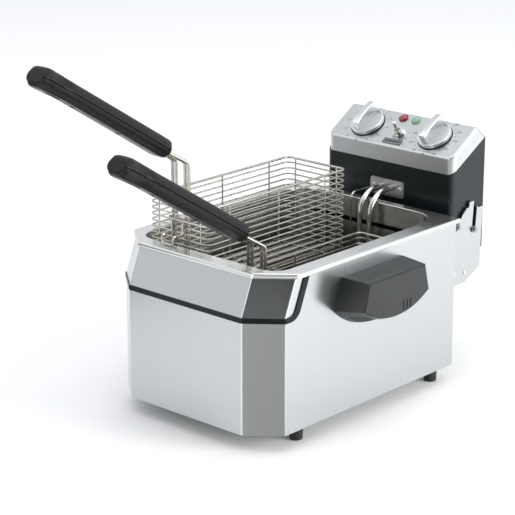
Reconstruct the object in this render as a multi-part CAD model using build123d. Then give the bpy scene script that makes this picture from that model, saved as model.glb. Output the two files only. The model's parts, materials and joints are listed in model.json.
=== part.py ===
from build123d import *
import math
import os

os.makedirs("parts", exist_ok=True)

# Countertop deep fryer: folded steel housing, drop-in oil tank, two lift-out baskets and a control
# head that carries the heating element and hangs on a bracket behind the tank.
#
# Body frame, millimetres: x to the right seen from the front, y from the front panel towards the
# back, z up from the lower edge of the panels. save() moves it to the part's own frame, whose
# origin is on the table under the middle of the whole outline.
FRAME_Y = -124.43
FOOT_HEIGHT = 18.8

# ---- housing ----------------------------------------------------------------------------------
HALF_WIDTH = 117.0
FRONT_HALF = 81.8  # half width of the front panel, between its two corner facets
FACET_WIDTH = HALF_WIDTH - FRONT_HALF
FACET_DEPTH = 28.9  # how far back a corner facet runs
HOUSING_REAR = 319.0
SHEET = 1.2
BEND = 3.5  # outside bend radius of the folded sheet
BAND_BOTTOM = 124.6
BAND_TOP = 130.4
BAND_PROUD = 1.2
LEAN = 0.408  # the front cap leans back this much per unit of height
BAND_INNER_Y = 41.1  # where the band's two edge lines turn up, on the side panel
BAND_OUTER_Y = 47.3
BAND_INNER_RADIUS = 9.5
BAND_OUTER_RADIUS = 17.0
RIM_UNDERSIDE = 174.0
REAR_SCREW_X = 110.0
REAR_SCREW_ZS = (30, 85, 140)

# ---- tank -------------------------------------------------------------------------------------
RIM_TOP = 175.2
LIP_OUT = 3.5  # the rim stands this far outside the housing
LIP_BOTTOM = 170.0
LIP_THICK = 1.5
TANK_HALF = 102.0
TANK_FRONT = 31.5
TANK_REAR = 311.5
TANK_FRONT_CORNER = 22.0
TANK_REAR_CORNER = 36.0
TANK_FLOOR = 22.0
TANK_BOTTOM_RADIUS = 12.0

# ---- feet and side handles --------------------------------------------------------------------
FOOT_X = 99.4
FOOT_YS = (67.0, 302.0)
FOOT_RADIUS = 8.0
HANDLE_Y = 170.5
HANDLE_OUT = 152.5  # x of the handle's outer face
HANDLE_SCREW_YS = (135.0, 206.0)
HANDLE_SCREW_Z = 147.0

# ---- rear bracket and control head ------------------------------------------------------------
PLATE_IN = 94.6
PLATE_THICK = 1.5
BRACKET_FOOT = 83.2
BRACKET_BOLT_XS = (-60, 60)
BRACKET_BOLT_Z = 100.0
RIVETS = ((367.0, 95.5), (347.6, 96.8))  # y, z on each side plate
REAR_PIN = (381.7, 144.4)
PIN_SWING = 33.0
PIN_RADIUS = 2.5
REST_ANGLE = 163.6
DRAIN_ANGLE = 111.4
SLOT_HALF = 3.5
SLOT_LEAN = 4.0  # the slot leans back this much from the pin to its open top
SLOT_TOP = 190.0
HEAD_HALF = 92.4
HEAD_FRONT = 342.0
HEAD_REAR = 404.0
HEAD_BOTTOM = 118.0
HEAD_WALL = 2.0
BEZEL_LOW = 215.2  # bezel's lower edge at the front
BEZEL_RISE = 0.566  # its rise per unit of depth
FACE_FRONT_Z = 234.5
FACE_BACK = (388.8, 263.4)
FACE_ANGLE = 31.85
BEZEL_WALL = 2.2
COVER_SCREW_X = 80.0
COVER_SCREW_ZS = (130, 236)
COVER_EDGE = 6.4  # the back cover stops this far inside the head's outline
RESET_X = 45.0
RESET_Z = 185.0
GLAND_X = -55.0
GLAND_Z = 150.0
GLAND_BORE = 4.5

# ---- controls, on the sloping face: x, distance up the slope ----------------------------------
DIAL_X = 49.5
DIAL_UP = 27.5
LAMP_X = 9.2
LAMP_UP = 46.3
LEVER_UP = 21.5
BADGE_UP = 7.8
KNOB_RADIUS = 20.5
FIN_ARCH = 80.0  # radius of the arched top of a knob's fin
SHAFT_RADIUS = 3.0

# ---- heating element --------------------------------------------------------------------------
TUBE = 3.25
TUBE_X = 7.25
TUBE_EXIT_Z = 186.0
TUBE_DROP_Y = 300.0
ELEMENT_Z = 41.0
ELEMENT_OUT = 82.0  # x of the outermost runs
ELEMENT_MIDDLE = 44.5
ELEMENT_NEAR = 262.0  # y of the bends near the head
ELEMENT_FAR = 62.0
BULB_X = -26.0
CAPILLARY_Z = 181.0

# ---- baskets ----------------------------------------------------------------------------------
BASKET_X = 49.6
BASKET_HALF = 45.0
BASKET_LENGTH = 230.0
BASKET_DEPTH = 98.0
BASKET_CORNER = 8.0
LOWERED_FRONT = 54.9
LOWERED_TOP = 145.5
RAISE = 75.0
RAISED_SHIFT = -12.0
WIRE = 0.95
FRAME_WIRE = 1.4
LEG_WIRE = 1.75
WIRE_PITCH = 6.7
UPRIGHT_LOW = 3.8  # the walls' upright wires, from just above the floor to under the top frame
UPRIGHT_HIGH = BASKET_DEPTH - 2 * FRAME_WIRE - 0.05
SIDE_UPRIGHT = 36.0  # from each end of a long wall to its outer upright wires
END_UPRIGHT = 31.0  # x of the short walls' upright wires
HOOK_HALF = 8.0
HOOK_OUT = 16.5
HOOK_WIRE = 1.5
LEG_OFFSETS = (6.6, 12.2)
GRIP_OFFSETS = (3.6, 8.2)
LEG_BACK = 4.6  # the legs stand this far behind the basket's front
ELBOW_Z = 43.7  # the legs' elbow above the basket's top
GRIP_SLOPE = 31.8
GRIP_START = 29.5  # along the slope from the elbow
GRIP_LENGTH = 207.6
GRIP_RAISE = 2.5  # the grip's middle above the wires that it holds


def save(node, shape):
    placed = shape.moved(Location((0, FRAME_Y, FOOT_HEIGHT)))
    export_step(placed, f"parts/{node}.step")


def box(x, y, z):
    """A block between pairs of limits along each axis."""
    size = [pair[1] - pair[0] for pair in (x, y, z)]
    middle = [(pair[0] + pair[1]) / 2 for pair in (x, y, z)]
    return Pos(*middle) * Box(*size)


def rod(start, end, radius):
    """A round bar between two points."""
    line = Vector(*end) - Vector(*start)
    plane = Plane(origin=start, z_dir=line.normalized())
    return plane.location * Cylinder(radius, line.length, align=(Align.CENTER, Align.CENTER, Align.MIN))


def group(shapes):
    return Compound([solid for shape in shapes for solid in shape.solids()])


def mirror_x(shape):
    return mirror(shape, about=Plane.YZ)


def side_face(points, radii=None):
    """A face in the y-z plane, with chosen corners rounded."""
    face = Plane.YZ * make_face(Polyline(*points, close=True))
    for (y, z), radius in (radii or {}).items():
        corner = face.vertices().sort_by_distance((0, y, z))[0]
        face = fillet(corner, radius)
    return face


def slab(face, x_from, x_to):
    """A face of the y-z plane, thickened from one x to another."""
    return Pos(x_from, 0, 0) * extrude(face, x_to - x_from, dir=(1, 0, 0))


# ---- housing ----------------------------------------------------------------------------------
def plan(inset, rear):
    """The housing's outline seen from above, moved inwards by an inset, with its four front bends."""
    turn = math.atan2(FACET_DEPTH, FACET_WIDTH)
    front_x = FRONT_HALF - inset * math.tan(turn / 2)
    side_y = FACET_DEPTH + inset * math.tan((math.pi / 2 - turn) / 2)
    half = HALF_WIDTH - inset
    right = [(front_x, inset), (half, side_y), (half, rear)]
    left = [(-x, y) for x, y in reversed(right)]
    face = make_face(Polyline(*left, *right, close=True))
    front = [corner for corner in face.vertices() if corner.Y < rear - 1]
    return fillet(front, BEND - inset)


def wall_ring(outer_inset, inner_inset):
    """Plan of the folded wall, open at the back."""
    return plan(outer_inset, HOUSING_REAR) - plan(inner_inset, HOUSING_REAR + 20)


def cap_region(turn_y, turn_z, radius):
    """Everything in front of and above one of the band's edge lines, right across the fryer."""
    top = RIM_TOP + 20
    points = [(-20, turn_z), (turn_y, turn_z), (turn_y + LEAN * (top - turn_z), top), (-20, top)]
    face = side_face(points, {(turn_y, turn_z): radius})
    return slab(face, -HALF_WIDTH - 10, HALF_WIDTH + 10)


def inner_region():
    return cap_region(BAND_INNER_Y, BAND_TOP, BAND_INNER_RADIUS)


def outer_region():
    return cap_region(BAND_OUTER_Y, BAND_BOTTOM, BAND_OUTER_RADIUS)


def outer_housing():
    wall = extrude(wall_ring(0, SHEET), RIM_UNDERSIDE)
    wall -= inner_region()
    flange_y = (HOUSING_REAR - 2 * SHEET, HOUSING_REAR - SHEET)
    side = box((HALF_WIDTH - 13, HALF_WIDTH - SHEET), flange_y, (4, 168))
    wall += side + mirror_x(side)
    wall -= group(rod((x, 300, z), (x, 330, z), 1.6) for x, z in rear_screw_places())
    holes = [rod((x, y, HANDLE_SCREW_Z), (1.2 * x, y, HANDLE_SCREW_Z), 2.1)
             for x in (-110, 110) for y in HANDLE_SCREW_YS]
    return wall - group(holes)


def front_cap():
    height = RIM_UNDERSIDE - BAND_TOP
    lean = Vector(0, LEAN, 1)
    ring = Pos(0, 0, BAND_TOP) * wall_ring(0, SHEET)
    return extrude(ring, height * lean.length, dir=lean) & inner_region()


def trim_band():
    ring = plan(-BAND_PROUD, 90) - plan(0, 110)
    strip = Pos(0, 0, BAND_BOTTOM - 1) * extrude(ring, LIP_BOTTOM - BAND_BOTTOM + 0.9)
    return (strip & outer_region()) - inner_region()


def rear_screw_places():
    return [(x, z) for x in (-REAR_SCREW_X, REAR_SCREW_X) for z in REAR_SCREW_ZS]


def rear_panel():
    inner = HALF_WIDTH - SHEET
    plate = box((-inner, inner), (HOUSING_REAR - SHEET, HOUSING_REAR), (SHEET, 173.5))
    plate -= group(rod((x, 310, z), (x, 330, z), 1.6) for x, z in rear_screw_places())
    plate -= group(rod((x, 310, BRACKET_BOLT_Z), (x, 330, BRACKET_BOLT_Z), 2.6) for x in BRACKET_BOLT_XS)
    slots = [box((x - 2, x + 2), (310, 330), (40, 70)) for x in range(-60, 61, 12)]
    return plate - group(slots)


def base_plate():
    plate = extrude(plan(SHEET, HOUSING_REAR - SHEET), SHEET)
    plate += box((-HALF_WIDTH + SHEET, HALF_WIDTH - SHEET), (HOUSING_REAR - SHEET, HOUSING_REAR), (0, SHEET))
    return plate - group(rod((x, y, -5), (x, y, 5), 2.1) for x, y in foot_places())


def foot_places():
    return [(x, y) for x in (-FOOT_X, FOOT_X) for y in FOOT_YS]


def pan_screw(head_radius, head, radius, length):
    """A pan-head screw pointing up +Z from the seat of its head, with a cross recess."""
    cap = Cylinder(head_radius, head, align=(Align.CENTER, Align.CENTER, Align.MAX))
    cap = fillet(cap.edges().sort_by(Axis.Z)[0], head * 0.45)
    shank = Cylinder(radius, length, align=(Align.CENTER, Align.CENTER, Align.MIN))
    cross = Box(head_radius, 0.8, head, align=(Align.CENTER, Align.CENTER, Align.MIN))
    cross += Box(0.8, head_radius, head, align=(Align.CENTER, Align.CENTER, Align.MIN))
    return cap + shank - Pos(0, 0, -1.55 * head) * cross


def screw_at(place, direction, screw):
    return Plane(origin=place, z_dir=direction).location * screw


def feet():
    foot = Cone(FOOT_RADIUS - 0.8, FOOT_RADIUS, FOOT_HEIGHT, align=(Align.CENTER, Align.CENTER, Align.MAX))
    foot = fillet(foot.edges().sort_by(Axis.Z)[0], 1.2)
    foot -= Cylinder(2.3, 60)
    foot -= Pos(0, 0, -FOOT_HEIGHT) * Cylinder(4.6, 9, align=(Align.CENTER, Align.CENTER, Align.MIN))
    return group(Pos(x, y, 0) * foot for x, y in foot_places())


def foot_fasteners():
    """The screw up through each foot, and its nut on the base plate."""
    screw = Pos(0, 0, -FOOT_HEIGHT + 9) * pan_screw(4.0, 2.4, 2.0, 16.5)
    nut = Pos(0, 0, SHEET) * (extrude(RegularPolygon(4.0, 6), 3.2) - Cylinder(2.05, 20))
    return group(Pos(x, y, 0) * piece for x, y in foot_places() for piece in (screw, nut))


def rear_screws():
    screw = pan_screw(3.0, 1.8, 1.5, 6)
    return group(screw_at((x, HOUSING_REAR, z), (0, -1, 0), screw) for x, z in rear_screw_places())


# ---- side handles -----------------------------------------------------------------------------
def handle_outline(top_half, side_half, top_z, side_z, low_z):
    """Flat top, splayed ends and one long arc underneath."""
    y = HANDLE_Y
    ends = [(y + side_half, side_z), (y + top_half, top_z), (y - top_half, top_z), (y - side_half, side_z)]
    arc = ThreePointArc(ends[3], (y, low_z), ends[0])
    return make_face([*Polyline(*ends).edges(), arc])


def side_handle():
    base = Plane.YZ.offset(HALF_WIDTH) * handle_outline(52, 65, 153.9, 119, 92.7)
    face = Plane.YZ.offset(HANDLE_OUT) * handle_outline(48, 55, 152.3, 122.5, 106)
    block = loft([base, face])
    block = fillet(block.edges().group_by(Axis.X)[-1], 3.0)
    base_in = Plane.YZ.offset(HALF_WIDTH + 6) * handle_outline(44, 52, 140, 112, 70)
    face_in = Plane.YZ.offset(HANDLE_OUT - 7) * handle_outline(41, 45, 140, 112, 80)
    block -= loft([base_in, face_in])
    for y in HANDLE_SCREW_YS:
        block -= rod((HALF_WIDTH - 1, y, HANDLE_SCREW_Z), (HALF_WIDTH + 16, y, HANDLE_SCREW_Z), 1.9)
    ribs = [box((HANDLE_OUT - 0.6, HANDLE_OUT + 0.5), (y, y + 2.2), (110, 121)) for y in (179, 185, 191)]
    return block - group(ribs)


def handle_screws():
    screw = pan_screw(4.0, 2.4, 1.85, 15)
    inside = HALF_WIDTH - SHEET
    right = [screw_at((inside, y, HANDLE_SCREW_Z), (1, 0, 0), screw) for y in HANDLE_SCREW_YS]
    return group(right + [mirror_x(piece) for piece in right])


# ---- oil tank ---------------------------------------------------------------------------------
def tank_plan(outset):
    width = 2 * (TANK_HALF + outset)
    depth = TANK_REAR - TANK_FRONT + 2 * outset
    outline = Rectangle(width, depth)
    outline = fillet(outline.vertices().group_by(Axis.Y)[0], TANK_FRONT_CORNER + outset)
    outline = fillet(outline.vertices().group_by(Axis.Y)[-1], TANK_REAR_CORNER + outset)
    return Pos(0, (TANK_FRONT + TANK_REAR) / 2) * outline


def tank_block(outset, bottom, top):
    block = Pos(0, 0, bottom) * extrude(tank_plan(outset), top - bottom)
    return fillet(block.edges().group_by(Axis.Z)[0], TANK_BOTTOM_RADIUS + outset)


def rim_plan(inset):
    """The rim's outline: the leaning cap's top outline, moved outwards."""
    lean_back = LEAN * (RIM_UNDERSIDE - BAND_TOP)
    return Pos(0, lean_back, 0) * plan(inset - LIP_OUT, HOUSING_REAR + LIP_OUT - inset - lean_back)


def oil_tank():
    rim = Pos(0, 0, LIP_BOTTOM) * extrude(rim_plan(0), RIM_TOP - LIP_BOTTOM)
    rim = fillet(rim.edges().group_by(Axis.Z)[-1], 1.4)
    rim -= Pos(0, 0, LIP_BOTTOM - 1) * extrude(rim_plan(LIP_THICK), RIM_UNDERSIDE - LIP_BOTTOM + 1)
    shell = rim + tank_block(SHEET, TANK_FLOOR, RIM_TOP - 0.1)
    return shell - tank_block(0, TANK_FLOOR + SHEET, RIM_TOP + 20)


# ---- rear bracket -----------------------------------------------------------------------------
def swing_point(angle, radius=PIN_SWING):
    """A point on the circle that the front pin follows about the rear pin."""
    turn = math.radians(angle)
    return (REAR_PIN[0] + radius * math.cos(turn), REAR_PIN[1] + radius * math.sin(turn))


def bracket_plate():
    """One side plate: front ledge, the arc that guides the pin, drain notch, finger, slot, upright."""
    edge = PIN_SWING - PIN_RADIUS - 0.2
    ledge = swing_point(REST_ANGLE, edge)
    start = (ledge[0], ledge[1] - 4.2)
    notch = swing_point(DRAIN_ANGLE)
    arc = ThreePointArc(start, swing_point(143, edge), swing_point(122, edge))
    finger_tip = (notch[0] + 4.2, notch[1] + 3.5)
    outline = [swing_point(122, edge), finger_tip, (finger_tip[0] + 9, finger_tip[1]), (390, 169)]
    outline += [(399, 169), (397, 135), (396.3, 97), (367.8, BRACKET_FOOT), (HOUSING_REAR, BRACKET_FOOT)]
    outline += [(HOUSING_REAR, start[1]), start]
    face = make_face([arc, *Polyline(*outline).edges()])
    face -= Pos(*notch) * Circle(3.0)
    face -= Pos(notch[0] - 1.6, notch[1] + 4.5) * Rectangle(6.6, 9)
    y, z = REAR_PIN
    slot = Polyline((y - SLOT_HALF, z), (y + SLOT_HALF, z), (y + SLOT_HALF + SLOT_LEAN, SLOT_TOP),
                    (y - SLOT_HALF + SLOT_LEAN, SLOT_TOP), close=True)
    face -= make_face(slot) + Pos(y, z) * Circle(SLOT_HALF)
    return slab(Plane.YZ * face, PLATE_IN, PLATE_IN + PLATE_THICK)


def rear_bracket():
    plate = bracket_plate()
    for y, z in RIVETS:
        plate -= rod((80, y, z), (110, y, z), 1.5)
    web = box((-PLATE_IN, PLATE_IN), (HOUSING_REAR, HOUSING_REAR + PLATE_THICK), (BRACKET_FOOT, 148))
    shelf = box((-PLATE_IN, PLATE_IN), (HOUSING_REAR, 372), (BRACKET_FOOT, BRACKET_FOOT + PLATE_THICK))
    bracket = plate + mirror_x(plate) + web + shelf
    return bracket - group(rod((x, 310, BRACKET_BOLT_Z), (x, 330, BRACKET_BOLT_Z), 2.6) for x in BRACKET_BOLT_XS)


def bracket_rivets():
    pieces = []
    for y, z in RIVETS:
        head = Cylinder(2.9, 1.1, align=(Align.CENTER, Align.CENTER, Align.MIN))
        head = fillet(head.edges().sort_by(Axis.Z)[-1], 0.9)
        stem = Cylinder(1.45, PLATE_THICK + 2.2, align=(Align.CENTER, Align.CENTER, Align.MIN))
        rivet = head + Pos(0, 0, -PLATE_THICK - 2) * stem
        pieces.append(screw_at((PLATE_IN + PLATE_THICK, y, z), (1, 0, 0), rivet))
    return group(pieces + [mirror_x(piece) for piece in pieces])


def bracket_bolts():
    bolt = pan_screw(4.6, 2.8, 2.4, 5)
    seat = HOUSING_REAR + PLATE_THICK
    return group(screw_at((x, seat, BRACKET_BOLT_Z), (0, -1, 0), bolt) for x in BRACKET_BOLT_XS)


def head_pins():
    """Two shouldered pins on each side of the head, and a washer under each."""
    front = swing_point(REST_ANGLE)
    pins = []
    for y, z in (front, REAR_PIN):
        pin = rod((HEAD_HALF - HEAD_WALL, y, z), (100.4, y, z), PIN_RADIUS)
        pin += rod((HEAD_HALF, y, z), (HEAD_HALF + 1.6, y, z), 4.4)
        pin += rod((PLATE_IN + PLATE_THICK + 0.9, y, z), (PLATE_IN + PLATE_THICK + 2.4, y, z), 4.0)
        pins.append(pin)
    return group(pins + [mirror_x(pin) for pin in pins])


# ---- control head -----------------------------------------------------------------------------
FACE = Plane(origin=(0, HEAD_FRONT, FACE_FRONT_Z), x_dir=(1, 0, 0),
             z_dir=(0, -math.sin(math.radians(FACE_ANGLE)), math.cos(math.radians(FACE_ANGLE))))


def on_face(x, up, height=0.0):
    return FACE.location * Pos(x, up, height)


def bezel_low(y):
    return BEZEL_LOW + BEZEL_RISE * (y - HEAD_FRONT)


def head_block(inset, corner, bottom, top_points):
    """The head's cross-section right through its width, with its upright corners rounded."""
    front = HEAD_FRONT + inset
    rear = HEAD_REAR - inset
    points = [(front, bottom), (rear, bottom), *top_points]
    block = slab(side_face(points), -HEAD_HALF + inset, HEAD_HALF - inset)
    upright = [edge for edge in block.edges().filter_by(Axis.Z) if edge.center().Y < front + 1]
    return fillet(upright, corner)


def head_housing():
    outer = head_block(0, 6, HEAD_BOTTOM, [(HEAD_REAR, bezel_low(HEAD_REAR)), (HEAD_FRONT, BEZEL_LOW)])
    inner = head_block(HEAD_WALL, 4, HEAD_BOTTOM + HEAD_WALL, [(HEAD_REAR - HEAD_WALL, 290), (344, 290)])
    shell = outer - inner
    opening = box((-HEAD_HALF + 6, HEAD_HALF - 6), (HEAD_REAR - 5, HEAD_REAR + 5), (HEAD_BOTTOM + 6, 290))
    shell -= opening
    for y, z in (swing_point(REST_ANGLE), REAR_PIN):
        shell -= rod((-100, y, z), (100, y, z), PIN_RADIUS)
    for x in (-TUBE_X, TUBE_X):
        shell -= rod((x, 330, TUBE_EXIT_Z), (x, 350, TUBE_EXIT_Z), TUBE + 0.3)
    shell -= group(rod((x, 330, z), (x, 350, z), 1.3) for x, z in element_screw_places())
    shell -= rod((BULB_X, 330, CAPILLARY_Z), (BULB_X, 350, CAPILLARY_Z), 1.3)
    for post in cover_posts():
        shell += post
    return shell


def bezel_block(inset, extra_low):
    """The bezel as a solid: front strip, sloping face and a bevel down to the back."""
    rise = inset / math.cos(math.radians(FACE_ANGLE))
    front = HEAD_FRONT + inset
    rear = HEAD_REAR - inset
    slope = math.tan(math.radians(FACE_ANGLE))
    back_y = FACE_BACK[0] - 0.3 * inset
    points = [(front, BEZEL_LOW - extra_low), (rear, bezel_low(HEAD_REAR) - extra_low)]
    points += [(rear, bezel_low(HEAD_REAR) + 1.0 - inset)]
    points += [(y, FACE_FRONT_Z - rise + slope * (y - HEAD_FRONT)) for y in (back_y, front)]
    block = slab(side_face(points), -HEAD_HALF + inset, HEAD_HALF - inset)
    upright = [edge for edge in block.edges().filter_by(Axis.Z) if edge.center().Y < front + 1]
    return fillet(upright, 9 - inset)


def head_bezel():
    outer = bezel_block(0, 0)
    slope = [face for face in outer.faces() if face.area > 2500 and face.normal_at().Z > 0.6][0]
    bevel_sides = [edge for edge in outer.edges()
                   if edge.center().Y > FACE_BACK[0] and edge.length < 30 and edge.center().Z > 255]
    outer = fillet([*slope.edges(), *bevel_sides], 3.0)
    shell = outer - bezel_block(BEZEL_WALL, 5)
    cuts = [on_face(x, DIAL_UP) * Cylinder(5.2, 12) for x in (-DIAL_X, DIAL_X)]
    cuts += [on_face(x, LAMP_UP) * Cylinder(4.6, 12) for x in (-LAMP_X, LAMP_X)]
    cuts.append(on_face(0, LEVER_UP) * Cylinder(6.2, 12))
    return shell - group(cuts)


def head_back_cover():
    half = HEAD_HALF - COVER_EDGE
    low = HEAD_BOTTOM + COVER_EDGE
    plate = box((-half, half), (HEAD_REAR - HEAD_WALL, HEAD_REAR), (low, 249))
    plate -= rod((RESET_X, 395, RESET_Z), (RESET_X, 410, RESET_Z), 3.2)
    plate -= rod((GLAND_X, 395, GLAND_Z), (GLAND_X, 410, GLAND_Z), 8.1)
    louvres = [box((x - 1.5, x + 1.5), (395, 410), (205, 232)) for x in range(-40, 41, 8)]
    plate -= group(louvres)
    lip_half = COVER_SCREW_X - 10
    lip = box((-lip_half, lip_half), (HEAD_REAR - 8, HEAD_REAR - HEAD_WALL), (low, low + 1.6))
    return plate + lip - group(rod((x, 390, z), (x, 410, z), 1.6) for x, z in cover_screw_places())


def cover_screw_places():
    return [(x, z) for x in (-COVER_SCREW_X, COVER_SCREW_X) for z in COVER_SCREW_ZS]


def cover_posts():
    """Threaded posts inside the head that the back cover is screwed to."""
    posts = []
    for x, z in cover_screw_places():
        inner = math.copysign(HEAD_HALF - HEAD_WALL, x)
        limits = tuple(sorted((x - math.copysign(5, x), inner)))
        post = box(limits, (392, HEAD_REAR - HEAD_WALL), (z - 5, z + 5))
        posts.append(post - rod((x, 390, z), (x, 410, z), 1.6))
    return posts


def cover_screws():
    screw = pan_screw(3.2, 2.0, 1.5, 9)
    return group(screw_at((x, HEAD_REAR, z), (0, -1, 0), screw) for x, z in cover_screw_places())


def cord_gland():
    """The mains inlet bush: a flanged collar with a through bore and a nut inside."""
    outside = rod((GLAND_X, HEAD_REAR, GLAND_Z), (GLAND_X, HEAD_REAR + 2.5, GLAND_Z), 11)
    barrel = rod((GLAND_X, HEAD_REAR - 10, GLAND_Z), (GLAND_X, HEAD_REAR + 2.5, GLAND_Z), 8)
    outside = fillet(outside.edges().sort_by(Axis.Y)[-1], 1.0)
    gland = outside + barrel
    return gland - rod((GLAND_X, 380, GLAND_Z), (GLAND_X, 420, GLAND_Z), GLAND_BORE)


def gland_nut():
    nut = extrude(RegularPolygon(11.5, 6), 4.0) - Cylinder(8.05, 20)
    return screw_at((GLAND_X, HEAD_REAR - HEAD_WALL - 0.1, GLAND_Z), (0, -1, 0), nut)


def reset_button():
    cap = rod((RESET_X, HEAD_REAR - 12, RESET_Z), (RESET_X, HEAD_REAR + 3.5, RESET_Z), 2.9)
    cap = fillet(cap.edges().sort_by(Axis.Y)[-1], 0.8)
    return cap + rod((RESET_X, HEAD_REAR - 13, RESET_Z), (RESET_X, HEAD_REAR - 10, RESET_Z), 4.4)


def high_limit_switch():
    """The over-temperature cut-out that the reset button belongs to."""
    body = box((RESET_X - 14, RESET_X + 14), (362, 388), (RESET_Z - 13, RESET_Z + 13))
    collar = rod((RESET_X, 388, RESET_Z), (RESET_X, HEAD_REAR - 9, RESET_Z), 6.5)
    hollow = rod((RESET_X, 387, RESET_Z), (RESET_X, HEAD_REAR, RESET_Z), 4.7)
    lip = rod((RESET_X, HEAD_REAR - 9, RESET_Z), (RESET_X, HEAD_REAR - 6, RESET_Z), 6.5)
    lip -= rod((RESET_X, HEAD_REAR - 20, RESET_Z), (RESET_X, HEAD_REAR, RESET_Z), 3.2)
    return body + collar - hollow + lip


def terminal_block():
    block = box((-32, -4), (366, 386), (150, 172))
    for x in (-26, -18, -10):
        block -= rod((x, 376, 160), (x, 376, 190), 2.2)
    return block


# ---- controls ---------------------------------------------------------------------------------
def dial_ring(x):
    """The flat black ring printed plate around a knob."""
    ring = Cylinder(KNOB_RADIUS + 0.9, 0.5, align=(Align.CENTER, Align.CENTER, Align.MIN))
    return on_face(x, DIAL_UP) * (ring - Cylinder(5.2, 5))


def control_body(x, size, depth):
    """A switch body under the face, with its threaded neck and a tab that keeps it from turning."""
    half = size / 2
    body = Pos(0, 0, -BEZEL_WALL - depth / 2 - 0.2) * Box(size, size, depth)
    body = fillet(body.edges().filter_by(Axis.Z), 3)
    neck = Cylinder(5.0, BEZEL_WALL + 0.6, align=(Align.CENTER, Align.CENTER, Align.MAX))
    tab = Pos(0, half + 1.5, -BEZEL_WALL - 1.2) * Box(8, 4, 2)
    hollow = Cylinder(SHAFT_RADIUS + 0.05, 60)
    return on_face(x, DIAL_UP) * (body + neck + tab - hollow)


def knob(x):
    """Round base with a tall arched fin across it that points up the slope."""
    base = Pos(0, 0, 1.6) * Cylinder(KNOB_RADIUS, 4.4, align=(Align.CENTER, Align.CENTER, Align.MIN))
    base = fillet(base.edges().sort_by(Axis.Z)[-1], 1.0)
    base -= Pos(0, 0, 5.4) * (Cylinder(18.4, 2) - Box(8.8, 60, 4))
    fin = Cylinder(KNOB_RADIUS - 1, 26, align=(Align.CENTER, Align.CENTER, Align.MIN))
    fin &= Box(8.8, 60, 60)
    fin &= Pos(0, 0, 19.5 - FIN_ARCH) * Rot(0, 90, 0) * Cylinder(FIN_ARCH, 60)
    fin = fillet([edge for edge in fin.edges() if edge.center().Z > 12], 1.1)
    whole = base + Pos(0, 0, 1.6) * fin
    bore = Cylinder(SHAFT_RADIUS + 0.02, 11, align=(Align.CENTER, Align.CENTER, Align.MIN))
    return on_face(x, DIAL_UP) * (whole - bore)


def knob_shaft(x):
    """D-shaft from the switch body up into the knob."""
    return on_face(x, DIAL_UP, -14) * Cylinder(SHAFT_RADIUS, 24.8, align=(Align.CENTER, Align.CENTER, Align.MIN))


def lamp(x):
    lens = Cylinder(6.0, 1.2, align=(Align.CENTER, Align.CENTER, Align.MIN))
    dome = Pos(0, 0, -5.5) * Sphere(9.0) & Pos(0, 0, 4.2) * Box(9.6, 9.6, 6)
    dome &= Cylinder(4.8, 30)
    stem = Cylinder(4.4, 14, align=(Align.CENTER, Align.CENTER, Align.MAX))
    return on_face(x, LAMP_UP) * (lens + dome + stem)


def lever_bushing():
    """Threaded neck and body of the toggle switch, with room for the lever's ball and swing."""
    neck = Pos(0, 0, -2.6) * Cylinder(6.0, 8.8, align=(Align.CENTER, Align.CENTER, Align.MIN))
    body = Pos(0, 0, -BEZEL_WALL - 0.4) * Box(17, 26, 17, align=(Align.CENTER, Align.CENTER, Align.MAX))
    ball_room = Pos(0, 0, 1.5) * Sphere(4.0)
    swing = Pos(0, 0, 1.5) * Cone(2.0, 4.8, 8, align=(Align.CENTER, Align.CENTER, Align.MIN))
    return on_face(0, LEVER_UP) * (neck + body - ball_room - swing)


def lever_nut():
    nut = extrude(RegularPolygon(8.6, 6), 2.6) - Cylinder(6.05, 20)
    washer = Cylinder(8.8, 0.5, align=(Align.CENTER, Align.CENTER, Align.MIN)) - Cylinder(6.05, 20)
    return on_face(0, LEVER_UP) * (Pos(0, 0, 0.5) * nut + washer)


def power_lever():
    """Bat-shaped toggle: a ball in the neck and a rod that widens towards its rounded tip."""
    ball = Sphere(3.6)
    bat = Cone(1.5, 2.5, 15, align=(Align.CENTER, Align.CENTER, Align.MIN)) + Pos(0, 0, 15) * Sphere(2.5)
    return on_face(0, LEVER_UP, 1.5) * (ball + bat)


def badge_plate():
    plate = Box(26, 8, 0.6, align=(Align.CENTER, Align.CENTER, Align.MIN))
    plate = fillet(plate.edges().filter_by(Axis.Z), 1.2)
    return on_face(0, BADGE_UP) * plate


# ---- element ----------------------------------------------------------------------------------
def element_screw_places():
    return [(-19, TUBE_EXIT_Z - 1), (19, TUBE_EXIT_Z - 1)]


def element_plate():
    plate = Plane.XZ.offset(-HEAD_FRONT) * (Pos(0, 185) * RectangleRounded(49, 20, 3))
    plate = extrude(plate, 1.5)
    for x in (-TUBE_X, TUBE_X):
        plate -= rod((x, 330, TUBE_EXIT_Z), (x, 350, TUBE_EXIT_Z), TUBE + 0.02)
    return plate - group(rod((x, 330, z), (x, 350, z), 1.6) for x, z in element_screw_places())


def element_screws():
    screw = pan_screw(3.2, 2.0, 1.25, 7)
    return group(screw_at((x, HEAD_FRONT - 1.5, z), (0, 1, 0), screw) for x, z in element_screw_places())


def element_route():
    """Half of the element's centre line, from inside the head to the middle of its front run."""
    turn = ELEMENT_FAR + 26
    points = [(TUBE_X, 352, TUBE_EXIT_Z), (TUBE_X, TUBE_DROP_Y, TUBE_EXIT_Z), (TUBE_X, TUBE_DROP_Y, ELEMENT_Z)]
    points += [(TUBE_X, turn, ELEMENT_Z), (ELEMENT_MIDDLE, turn, ELEMENT_Z)]
    points += [(ELEMENT_MIDDLE, ELEMENT_NEAR, ELEMENT_Z), (ELEMENT_OUT, ELEMENT_NEAR, ELEMENT_Z)]
    return [*points, (ELEMENT_OUT, ELEMENT_FAR, ELEMENT_Z)]


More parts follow.
